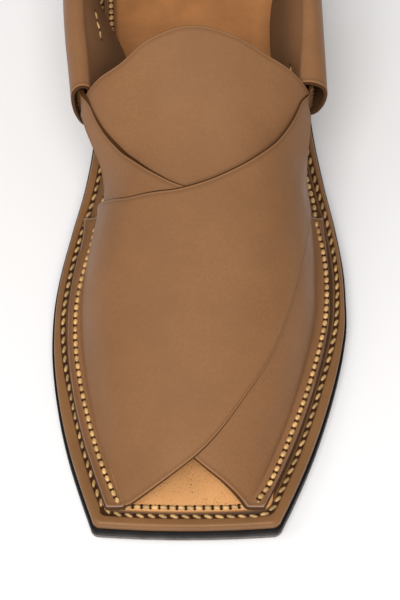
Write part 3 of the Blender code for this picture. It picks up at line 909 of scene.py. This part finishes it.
class Shader(Builder):
    """Builds one material."""

    def __init__(self, name):
        self.material = bpy.data.materials.new(name)
        self.material.use_nodes = True
        super().__init__(self.material.node_tree)
        self.place = self.add("ShaderNodeTexCoord", {})["Object"]

    def axis(self, name):
        return self.add("ShaderNodeSeparateXYZ", {0: self.place})[name]

    def noise(self, scale, detail=3.0, rough=0.5):
        values = {"Vector": self.place, "Scale": scale, "Detail": detail, "Roughness": rough}
        return self.add("ShaderNodeTexNoise", values)["Fac"]

    def cells(self, scale, feature="F1"):
        values = {"Vector": self.place, "Scale": scale}
        return self.add("ShaderNodeTexVoronoi", values, feature=feature)["Distance"]

    def attribute(self, name):
        return self.add("ShaderNodeAttribute", {}, attribute_name=name)["Fac"]

    def range(self, value, low, high, to_low=0.0, to_high=1.0):
        """A smooth step from one range to another."""
        values = dict(enumerate((value, low, high, to_low, to_high)))
        return self.add("ShaderNodeMapRange", values, interpolation_type="SMOOTHSTEP")[0]

    def cloud(self, scale, detail=3.0, rough=0.5, low=0.0, high=1.0):
        """Noise with more contrast, from low to high."""
        return self.range(self.noise(scale, detail, rough), 0.3, 0.7, low, high)

    def mix(self, share, a, b):
        """A blend of two colours, each a triple or a socket."""
        a, b = (v if isinstance(v, bpy.types.NodeSocket) else (*v, 1.0) for v in (a, b))
        return self.add("ShaderNodeMix", {0: share, 6: a, 7: b}, data_type="RGBA")[2]

    def bump(self, height, strength, distance, under=None):
        values = {"Height": height, "Strength": strength, "Distance": distance}
        if under is not None:
            values["Normal"] = under
        return self.add("ShaderNodeBump", values)["Normal"]

    def surface(self, **values):
        """The material, with these inputs on its shader."""
        values = {name.replace("_", " "): value for name, value in values.items()}
        self.fill(self.tree.nodes["Principled BSDF"], values)
        return self.material


def shade(value, factor):
    return tuple(min(1.0, c * factor) for c in value)


def smooth_leather(name, face):
    """Smooth dyed leather: fine grain, soft clouding, a lip with painted highlight, dark cut and
    flesh side, painted shade.
    """
    c = colours()
    m = Shader(name)
    base = m.mix(m.cloud(26.0, 4.0, 0.55), shade(face, 0.90), shade(face, 1.07))
    fleck = m.range(m.noise(900.0, 2.0, 0.6), 0.35, 0.65)
    base = m.mix(m.times(fleck, 0.30), base, shade(face, 0.78))
    pores = m.range(m.cells(620.0), 0.05, 0.16)
    base = m.mix(m.times(m.math("SUBTRACT", 1.0, pores), 0.22), base, shade(face, 0.55))
    edge = m.attribute("edge")
    flesh = m.attribute("flesh")
    # A darker band near each cut edge: an edge crease line, deepened as a painted shadow line
    band = m.times(m.range(edge, 0.0004, 0.0008), m.range(edge, 0.0010, 0.0026, 1.0, 0.0))
    base = m.mix(m.times(band, 0.40), base, shade(face, 0.50))
    # Painted highlight on the lip of each cut edge: lighter leather, pale grey on the low flanges
    lip = m.mix(m.range(m.axis("Z"), 0.0165, 0.0190), c.flange, shade(face, 1.32))
    base = m.mix(m.range(edge, 0.0001, 0.0006, 0.60, 0.0), base, lip)
    # The dyed cut, darkened further as a painted shadow line along the edge
    base = m.mix(m.range(flesh, 0.12, 0.34), base, c.cut)
    base = m.mix(m.range(flesh, 0.85, 1.00), base, c.lining)
    # Painted shade darkens the strap's inner ply and the inside of its tube
    base = m.mix(m.attribute("painted_shade"), base, shade(face, 0.22))
    pebble = m.range(m.cells(1500.0, "DISTANCE_TO_EDGE"), 0.02, 0.28)
    fine = m.bump(m.noise(120.0, 4.0, 0.6), 0.15, 0.0008)
    fine = m.bump(pebble, 0.15, 0.00010, fine)
    fine = m.bump(pores, 0.16, 0.00012, fine)
    return m.surface(
        Base_Color=base, Roughness=m.cloud(55.0, low=0.44, high=0.56), Normal=fine,
        Specular_IOR_Level=0.24, Specular_Tint=(0.66, 0.46, 0.32, 1.0),
    )


def rim_leather():
    """Waxed rim of the midsole, with painted shade in the stitched groove, beside it and at its
    foot.
    """
    c = colours()
    m = Shader("rim_leather")
    base = m.mix(m.cloud(60.0, 4.0, 0.6), shade(c.rim, 0.90), shade(c.rim, 1.08))
    streak = m.range(m.noise(240.0, 3.0, 0.6), 0.45, 0.75)
    base = m.mix(m.times(streak, 0.35), base, shade(c.rim, 0.70))
    # Painted shade turns the rim dark and dull
    dye_and_painted_light = m.attribute("dye_and_painted_light")
    rough = m.math("MAXIMUM", m.cloud(90.0, 2.0, low=0.36, high=0.52), dye_and_painted_light)
    return m.surface(
        Base_Color=m.mix(dye_and_painted_light, base, c.hole), Roughness=rough,
        Normal=m.bump(m.noise(700.0, 3.0, 0.6), 0.24, 0.00015),
        Specular_IOR_Level=0.35, Specular_Tint=(0.80, 0.62, 0.48, 1.0),
        Coat_Weight=0.10, Coat_Roughness=0.30,
    )


def natural_leather():
    """Natural insole leather, speckled at the toe, with painted shadow darkening the heel, and
    dyed at its rim.
    """
    c = colours()
    m = Shader("natural_leather")
    # Toward the heel the insole turns to the heel colour: painted shadow of the tongue and strap
    rear = m.range(m.axis("Y"), -0.09, 0.02)
    cloud = m.cloud(45.0, 5.0, 0.6)
    base = m.mix(cloud, shade(c.insole, 0.88), shade(c.insole, 1.06))
    base = m.mix(rear, base, m.mix(cloud, shade(c.heel, 0.84), shade(c.heel, 1.16)))
    patch = m.range(m.noise(190.0), 0.40, 0.62, 0.30, 1.0)
    fleck = m.range(m.noise(1700.0, 2.0, 0.6), 0.60, 0.70)
    pore = m.math("MAXIMUM", fleck, m.range(m.cells(900.0), 0.10, 0.22, 1.0, 0.0))
    spread = m.math("SUBTRACT", 1.0, m.times(rear, 0.80))
    amount = m.times(m.times(pore, patch), m.times(spread, 0.85))
    base = m.mix(amount, base, shade(c.insole, 0.17))
    base = m.mix(m.attribute("dye_and_painted_light"), base, shade(c.rim, 0.70))
    fine = m.bump(m.noise(520.0, 4.0, 0.6), 0.18, 0.00012)
    fine = m.bump(pore, 0.25, -0.0001, fine)
    return m.surface(Base_Color=base, Roughness=0.56, Normal=fine, Specular_IOR_Level=0.30)


def black_rubber():
    """Black rubber with a painted grey reflection on its lower edge and a fine moulded texture."""
    c = colours()
    m = Shader("black_rubber")
    patch = m.range(m.noise(300.0, 4.0, 0.7), 0.25, 0.6, 0.55, 1.0)
    return m.surface(
        Base_Color=m.mix(m.times(m.attribute("dye_and_painted_light"), patch), c.rubber, c.rubber_reflection),
        Roughness=m.cloud(120.0, 2.0, low=0.45, high=0.62),
        Normal=m.bump(m.noise(1400.0, 3.0, 0.6), 0.30, 0.00012), Specular_IOR_Level=0.16,
    )


def waxed_thread(name, face):
    """Waxed thread with the twist of its plies; painted shade between plies and where it enters
    the leather.
    """
    m = Shader(name)
    along = m.attribute("thread_along")
    turn = m.math("ADD", m.times(m.attribute("thread_around"), 2.0), m.times(along, 3.0))
    ply = m.math("ABSOLUTE", m.math("SINE", m.times(turn, math.pi)))
    groove = m.range(ply, 0.0, 0.45, 1.0, 0.0)
    end = m.math("ABSOLUTE", m.math("SUBTRACT", along, 0.5))
    base = m.mix(m.cloud(260.0, 2.0), shade(face, 0.66), shade(face, 1.20))
    # Painted shade in the grooves between the plies
    base = m.mix(m.times(groove, 0.45), base, shade(face, 0.40))
    # Painted shade where the thread goes into the leather
    base = m.mix(m.range(end, 0.30, 0.48), base, shade(colours().hole, 2.0))
    fine = m.bump(ply, 0.35, 0.0002)
    return m.surface(Base_Color=base, Roughness=0.38, Normal=fine, Specular_IOR_Level=0.6)


def needle_hole():
    """Needle holes, painted dark as the shade inside them."""
    m = Shader("needle_hole")
    base = m.mix(m.cloud(900.0, 2.0), colours().hole, shade(colours().hole, 1.8))
    return m.surface(Base_Color=base, Roughness=0.9, Specular_IOR_Level=0.1)


def material(name, make, *values):
    """The named material, made once."""
    return bpy.data.materials.get(name) or make(*values)


def dyed_leather(name, factor=1.0):
    """Smooth leather in the upper's colour, brightened by a factor."""
    return material(name, smooth_leather, name, shade(colours().upper, factor))


def stitch_tree():
    """Geometry Nodes for stitches along a curve, with a needle hole between each two."""
    tree = bpy.data.node_groups.new("stitch_row", "GeometryNodeTree")
    sockets = [("INPUT", *given) for given in STITCH_INPUTS] + [("OUTPUT", "Geometry", "Geometry")]
    for way, name, kind in sockets:
        tree.interface.new_socket(name=name, in_out=way, socket_type="NodeSocket" + kind)
    n = Builder(tree)
    i = n.add("NodeGroupInput", {})

    # A point for each stitch and each hole, one after the other, turned along the curve
    full = n.add("GeometryNodeCurveLength", {0: i["Geometry"]})[0]
    pairs = n.math("ROUND", n.math("DIVIDE", full, i["Pitch"]))
    count = n.math("ADD", n.times(pairs, 2.0), 1.0)
    row = n.add("GeometryNodeCurveToPoints", {0: i["Geometry"], 1: count}, mode="COUNT")
    ahead = n.add("FunctionNodeAlignRotationToVector", {2: row["Tangent"]}, axis="X")[0]
    upright = n.add(
        "FunctionNodeAlignRotationToVector", {0: ahead, 2: (0, 0, 1)}, axis="Z", pivot_axis="X"
    )[0]
    low, high = STITCH_TURN
    turn = n.add(
        "FunctionNodeRandomValue", {2: low, 3: high, 8: i["Seed"]}, data_type="FLOAT"
    )[1]
    yaw = n.add("ShaderNodeCombineXYZ", {2: n.math("ADD", i["Slant"], turn)})[0]
    yaw = n.add("FunctionNodeEulerToRotation", {0: yaw})[0]
    turned = n.add(
        "FunctionNodeRotateRotation", {0: upright, 1: yaw}, rotation_space="LOCAL"
    )[0]
    low, high = STITCH_SIZE
    size = n.add(
        "FunctionNodeRandomValue", {0: low, 1: high, 8: i["Seed"]}, data_type="FLOAT_VECTOR"
    )[0]
    odd = n.math("MODULO", n.add("GeometryNodeInputIndex", {})[0], 2.0)
    even = n.math("SUBTRACT", 1.0, odd)

    # One stitch: an arc of thread, thinner where it goes into the leather
    half = n.times(i["Stitch length"], 0.5)
    sink = n.times(i["Thread"], -STITCH_SINK)
    start = n.add("ShaderNodeCombineXYZ", {0: n.times(half, -1.0), 2: sink})[0]
    middle = n.add("ShaderNodeCombineXYZ", {2: n.times(i["Arch"], 2.0)})[0]
    end = n.add("ShaderNodeCombineXYZ", {0: half, 2: sink})[0]
    arc = {0: STITCH_STEPS, 1: start, 2: middle, 3: end}
    arc = n.add("GeometryNodeCurveQuadraticBezier", arc)[0]
    factor = n.add("GeometryNodeSplineParameter", {})["Factor"]
    belly = n.math("MAXIMUM", n.math("SINE", n.times(factor, math.pi)), 0.0)
    belly = n.times(n.math("POWER", belly, BELLY_POWER), 1 - STITCH_TIP)
    ring = {0: STITCH_SIDES, 4: n.times(i["Thread"], 0.5)}
    ring = n.add("GeometryNodeCurvePrimitiveCircle", ring, mode="RADIUS")[0]
    arc, ring = (
        n.add("GeometryNodeStoreNamedAttribute", {0: curve, 2: name, 3: factor},
              data_type="FLOAT", domain="POINT")[0]
        for curve, name in ((arc, "thread_along"), (ring, "thread_around"))
    )
    width = n.math("ADD", STITCH_TIP, belly)
    stitch = n.add("GeometryNodeCurveToMesh", {0: arc, 1: ring, 2: width, 3: True})[0]
    flat = n.add("ShaderNodeCombineXYZ", {0: 1.0, 1: 1.0, 2: i["Flatness"]})[0]

    # A needle hole: a dark squashed sphere standing for the shade inside it
    radius = n.times(i["Hole width"], 0.5)
    hole = n.add("GeometryNodeMeshUVSphere", {0: HOLE_SIDES, 1: HOLE_RINGS, 2: radius})[0]

    kinds = []
    for part, scale, finish, placed in (
        (stitch, flat, "Thread material", {1: odd, 5: turned, 6: size}),
        (hole, HOLE_SQUASH, "Hole material", {1: even, 5: upright}),
    ):
        part = n.add("GeometryNodeTransform", {0: part, 3: scale})[0]
        part = n.add("GeometryNodeSetMaterial", {0: part, 2: i[finish]})[0]
        placed = {0: row["Points"], 2: part, **placed}
        kinds.append(n.add("GeometryNodeInstanceOnPoints", placed)[0])
    both = tree.nodes.new("GeometryNodeJoinGeometry")
    for kind in kinds:
        tree.links.new(kind, both.inputs[0])
    whole = n.add("GeometryNodeRealizeInstances", {0: both.outputs[0]})[0]
    whole = n.add("GeometryNodeSetShadeSmooth", {0: whole, 2: True})[0]
    n.add("NodeGroupOutput", {0: whole})
    return tree


def stitch_row(name, path, measures, look, seed):
    """A plain mesh of stitches along a path of points. The measures are the pitch, a
    stitch's length and its thickness."""
    curve = bpy.data.curves.new(name + "_path", "CURVE")
    curve.dimensions = "3D"
    line = curve.splines.new("POLY")
    line.points.add(len(path) - 1)
    for point, spot in zip(line.points, path):
        point.co = (*spot, 1.0)
    guide = add_object(name + "_path", curve)
    tree = bpy.data.node_groups.get("stitch_row") or stitch_tree()
    rows = guide.modifiers.new("stitches", "NODES")
    rows.node_group = tree
    items = tree.interface.items_tree
    named = {item.name: item.identifier for item in items if item.in_out == "INPUT"}
    bright, *look = look
    thread = name + "_thread"
    thread = material(thread, waxed_thread, thread, shade(colours().thread, bright))
    values = (*measures, *look, seed, thread, material("needle_hole", needle_hole))
    for (label, _), value in zip(STITCH_INPUTS[1:], values, strict=True):
        rows[named[label]] = value
    depsgraph = bpy.context.evaluated_depsgraph_get()
    mesh = bpy.data.meshes.new_from_object(guide.evaluated_get(depsgraph), depsgraph=depsgraph)
    mesh.name = name
    bpy.data.objects.remove(guide, do_unlink=True)
    if len(mesh.polygons) == 0:
        raise RuntimeError(name + " has no stitches")
    return add_object(name, mesh)


def row_path(table, turn, height):
    """A path round the front of the sole, from the left side past the toe to the right side.
    Its height is a function of the share of length and of 1 at the toe, 0 at the sides."""
    s = sizes()
    turn = np.array(turn)
    middle = turn[:, 1] / s.sole_length
    left = np.linspace(ROW_END, middle[0], ROW_POINTS)[:-1]
    right = np.linspace(middle[-1], ROW_END, ROW_POINTS)[1:]
    x = np.concatenate([
        -half_breadth(1, left, spline(table, 1, left)), turn[:, 0],
        half_breadth(2, right, spline(table, 2, right)),
    ])
    share = np.concatenate([left, middle, right])
    front = np.concatenate([np.zeros(len(left)), np.ones(len(turn)), np.zeros(len(right))])
    return np.column_stack([x, y_at(share), height(share, front)])


def outer_drawn(x, share):
    """How far the outer row leaves its base line, inward."""
    column = np.where(x < 0, spline(OUTER_ROW, 1, share), spline(OUTER_ROW, 2, share))
    return (column - OUTER_INSET) * ease((share - DRAWN_START) / DRAWN_BLEND)


class ChappalOutsole(bpy.types.Operator):
    """Black rubber outsole with a painted reflection on its lower edge"""

    bl_idname = "chappal.outsole"
    bl_label = "Outsole"

    def execute(self, context):
        cut = sizes().outsole_chamfer
        # The chamfer and the lower side take a painted grey reflection
        rings = [(cut + CHAMFER_LIP, sole_bottom, 0.0, 0.3)]
        for inward, up in round_steps(cut, 4):
            rings.append((cut - up, sole_bottom, inward, 1.0))
        rings += stacked(LOWER_REFLECTION, 0.0, sole_bottom, 0.0)
        rings += stacked(RUBBER_TOP, 0.0, sole_top, 0.0)
        obj = plate("outsole_rubber", rings, material("black_rubber", black_rubber))
        place(obj, "outsole_rubber", "outsole")
        return {"FINISHED"}


class ChappalMidsole(bpy.types.Operator):
    """Leather rim with a rounded edge and the channel of the outer stitches"""

    bl_idname = "chappal.midsole"
    bl_label = "Midsole"

    def execute(self, context):
        s = sizes()
        rings = stacked(RIM_FOOT, s.outsole_ledge, sole_top, s.clearance)
        for inward, up in round_steps(s.midsole_round, 6):
            rings.append((s.outsole_ledge + inward, midsole_top, up - s.midsole_round, 0.0))
        groove = []
        half = s.groove_width / 2
        for step in range(-GROOVE_STEPS, GROOVE_STEPS + 1):
            share = step / GROOVE_STEPS
            depth = s.groove_depth * (0.5 + 0.5 * math.cos(share * math.pi))
            # Painted shade in the groove
            groove.append((share * half, -depth, GROOVE_SHADE * (1 - share**4)))
        rings += stacked(groove, OUTER_INSET, midsole_top, 0.0, outer_drawn)
        rings += stacked(RIM_INSIDE, OUTER_INSET + half, midsole_top, 0.0, outer_drawn)
        obj = plate("midsole_rim", rings, material("rim_leather", rim_leather))
        place(obj, "midsole_leather", "midsole")
        return {"FINISHED"}


class ChappalInsole(bpy.types.Operator):
    """Natural leather insole with a burnished cut edge"""

    bl_idname = "chappal.insole"
    bl_label = "Insole"

    def execute(self, context):
        s = sizes()

        def tucked(x, share):
            front, rear = TUCK_ENDS
            sides = ease((share - front) / TUCK_BLEND) * ease((rear - share) / TUCK_BLEND)
            return s.insole_tuck * sides

        def edge_dye(share):
            return 0.25 + 0.75 * ease((share - DYE_START) / DYE_BLEND)

        def band_dye(share):
            return 0.85 * ease((share - DYE_START) / DYE_BLEND)

        rings = [(s.insole_inset, midsole_top, s.clearance, 0.8, tucked)]
        steps = round_steps(INSOLE_ROUND, 4)
        edge = [(inward, up - INSOLE_ROUND, edge_dye) for inward, up in steps]
        edge += [(inset, 0.0, band_dye) for inset in DYED_BAND]
        edge.append((BARE_INSET, 0.0, 0.0))
        rings += stacked(edge, s.insole_inset, insole_top, 0.0, tucked)
        obj = plate("insole_leather", rings, material("natural_leather", natural_leather))
        place(obj, "insole_leather", "insole")
        return {"FINISHED"}


class ChappalPanels(bpy.types.Operator):
    """The two crossing panels, each sewn down on one side and ending in an ear"""

    bl_idname = "chappal.panels"
    bl_label = "Crossing panels"

    def execute(self, context):
        s = sizes()
        sewn, free, rows = PANEL_POINTS
        sewn = np.linspace(0, SEWN_SHARE, sewn, endpoint=False)
        columns = np.concatenate([sewn, np.linspace(SEWN_SHARE, 1, free)])
        rows = np.linspace(0, 1, rows)
        proud = s.panel_wall - s.panel_lap

        def lapping(across):
            return ease((across - LAP_START) / LAP_BLEND)

        def over(across):
            return proud * lapping(across)

        points, across = sheet_grid(PANEL_OVER, over, 1, columns, rows, OVER_CREASES)
        wall = s.panel_wall - (s.panel_lap + LAP_GAP) * lapping(across)
        skin = dyed_leather("smooth_upper")
        obj = leather_sheet("panel_over", points, wall, skin)
        place(obj, "upper_leather", "upper")

        points, _ = sheet_grid(PANEL_UNDER, np.zeros_like, -1, columns, rows, UNDER_CREASES)
        # This one runs from right to left, so it is turned round to face outwards
        obj = leather_sheet("panel_under", points[::-1], s.panel_wall, skin)
        place(obj, "upper_leather")
        return {"FINISHED"}


class ChappalTongue(bpy.types.Operator):
    """The tongue under both panels, with its bell-shaped free edge"""

    bl_idname = "chappal.tongue"
    bl_label = "Tongue"

    def execute(self, context):
        s = sizes()

        def under(across):
            return np.full_like(across, -s.tongue_clearance - s.panel_wall)

        columns, rows = (np.linspace(0, 1, count) for count in TONGUE_POINTS)
        points, across = sheet_grid(TONGUE, under, 0, columns, rows, TONGUE_CREASES)
        x_start, x_blend, y_start, y_blend = TONGUE_CORNER
        for side, move in ((-1, TONGUE_LEFT), (1, TONGUE_RIGHT)):
            corner = ease((side * across - x_start) / x_blend)
            corner = corner * ease((points[..., 1] - y_start) / y_blend)
            points = points + np.array(move) * corner[..., None]
        skin = dyed_leather("smooth_tongue")
        skive = s.skive * TONGUE_SKIVE
        obj = leather_sheet("tongue_sheet", points, s.tongue_wall, skin, skive=skive)
        place(obj, "tongue_leather", "tongue")
        return {"FINISHED"}


class ChappalHeelStrap(bpy.types.Operator):
    """The folded strap round the heel, open at both front ends"""

    bl_idname = "chappal.heel_strap"
    bl_label = "Heel strap"

    def execute(self, context):
        points = strap_grid(*STRAP_POINTS)
        section = np.arange(points.shape[1]) * len(STRAP_SECTION) / points.shape[1]
        first, first_blend, last, last_blend = STRAP_INSIDE
        inside = ease((section - first) / first_blend) * ease((last - section) / last_blend)
        # The inner ply takes painted shade
        painted_shade = np.zeros(points.shape[:2]) + inside * STRAP_SHADE
        skin = dyed_leather("smooth_strap", STRAP_BRIGHT)
        obj = leather_sheet("heel_strap_band", points, sizes().strap_wall, skin, True, painted_shade)
        place(obj, "strap_leather", "heel_strap")
        return {"FINISHED"}


class ChappalStitches(bpy.types.Operator):
    """Both rows of gold stitches round the sole, and the bar stitches in the strap"""

    bl_idname = "chappal.stitches"
    bl_label = "Stitch rows"

    def execute(self, context):
        s = sizes()

        def in_groove(share, front):
            return midsole_top(share) - s.groove_depth * GROOVE_SEAT

        def on_flange(share, front):
            rear = ease((FLANGE_REAR - share) / FLANGE_DROP)
            return insole_top(share) + (s.clearance + s.panel_wall) * (1 - front) * rear

        path = row_path(OUTER_ROW, OUTER_TURN, in_groove)
        measures = (s.outer_pitch, s.outer_stitch, s.thread)
        place(stitch_row("outer_stitches", path, measures, OUTER_LOOK, s.seed))
        path = row_path(INNER_ROW, INNER_TURN, on_flange)
        measures = (s.inner_pitch, s.inner_stitch, s.bead)
        place(stitch_row("inner_stitches", path, measures, INNER_LOOK, s.seed + 1))
        grid = strap_grid(*BAR_POINTS)
        for name, ends, count in (("left", BAR_LEFT, 3), ("right", BAR_RIGHT, 1)):
            along = np.linspace(ends[0], ends[2], 4 * count + 1) * (grid.shape[0] - 1)
            section = np.linspace(ends[1], ends[3], 4 * count + 1) * grid.shape[1]
            path = grid[along.round().astype(int), section.round().astype(int)]
            pitch = np.linalg.norm(np.diff(path, axis=0), axis=1).sum() / count
            measures = (pitch, pitch * BAR_LENGTH, s.thread * BAR_THREAD)
            look = (*BAR_LOOK, s.thread * BAR_HOLE)
            place(stitch_row("bar_stitches_" + name, path, measures, look, s.seed + 2))
        return {"FINISHED"}


class ChappalStudio(bpy.types.Operator):
    """Pale floor, soft lights and the camera"""

    bl_idname = "chappal.studio"
    bl_label = "Studio"

    def execute(self, context):
        scene = context.scene
        mesh = bpy.data.meshes.new("floor")
        corners = [(-1, -1), (1, -1), (1, 1), (-1, 1)]
        corners = [(x * FLOOR_REACH, y * FLOOR_REACH, 0) for x, y in corners]
        mesh.from_pydata(corners, [], [(0, 1, 2, 3)])
        mesh.materials.append(Shader("pale_floor").surface(
            Base_Color=(*FLOOR_COLOUR, 1.0), Roughness=0.9, Specular_IOR_Level=0.1
        ))
        add_object("floor", mesh)

        world = bpy.data.worlds.new("studio")
        world.use_nodes = True
        sky = world.node_tree.nodes["Background"].inputs
        sky["Color"].default_value = (*SKY_COLOUR, 1.0)
        sky["Strength"].default_value = SKY_STRENGTH
        scene.world = world
        for name, at, size, power in LAMPS:
            lamp = bpy.data.lights.new(name, "AREA")
            lamp.size = size
            lamp.energy = power
            obj = add_object(name, lamp)
            obj.location = at
            aim = Vector(LAMP_AIM) - Vector(at)
            obj.rotation_euler = aim.to_track_quat("-Z", "Y").to_euler()

        view = bpy.data.cameras.new("camera")
        view.lens = CAMERA_LENS
        view.sensor_width = CAMERA_SENSOR
        view.clip_start, view.clip_end = CAMERA_CLIP
        camera = add_object("camera", view)
        camera.location = CAMERA_PLACE
        camera.rotation_euler = (math.radians(CAMERA_TILT), 0.0, 0.0)
        scene.camera = camera
        scene.view_settings.view_transform = "Standard"
        return {"FINISHED"}


OPERATORS = (
    ChappalOutsole,
    ChappalMidsole,
    ChappalInsole,
    ChappalPanels,
    ChappalTongue,
    ChappalHeelStrap,
    ChappalStitches,
    ChappalStudio,
)


class ChappalPanel(bpy.types.Panel):
    """Lists the shoe's pieces, sizes and colours"""

    bl_idname = "VIEW3D_PT_chappal"
    bl_label = "Peshawari chappal"
    bl_space_type = "VIEW_3D"
    bl_region_type = "UI"
    bl_category = "Chappal"

    def draw(self, context):
        for kind in OPERATORS:
            self.layout.operator(kind.bl_idname)
        for group in (sizes(), colours()):
            for name in group.__annotations__:
                self.layout.prop(group, name)


CLASSES = (ChappalSizes, ChappalColours, *OPERATORS, ChappalPanel)


def register():
    for kind in CLASSES:
        bpy.utils.register_class(kind)
    bpy.types.Scene.chappal_sizes = PointerProperty(type=ChappalSizes)
    bpy.types.Scene.chappal_colours = PointerProperty(type=ChappalColours)


def unregister():
    del bpy.types.Scene.chappal_colours
    del bpy.types.Scene.chappal_sizes
    for kind in reversed(CLASSES):
        bpy.utils.unregister_class(kind)


def main():
    register()
    for kind in OPERATORS:
        group, name = kind.bl_idname.split(".")
        getattr(getattr(bpy.ops, group), name)()


if __name__ == "__main__":
    main()
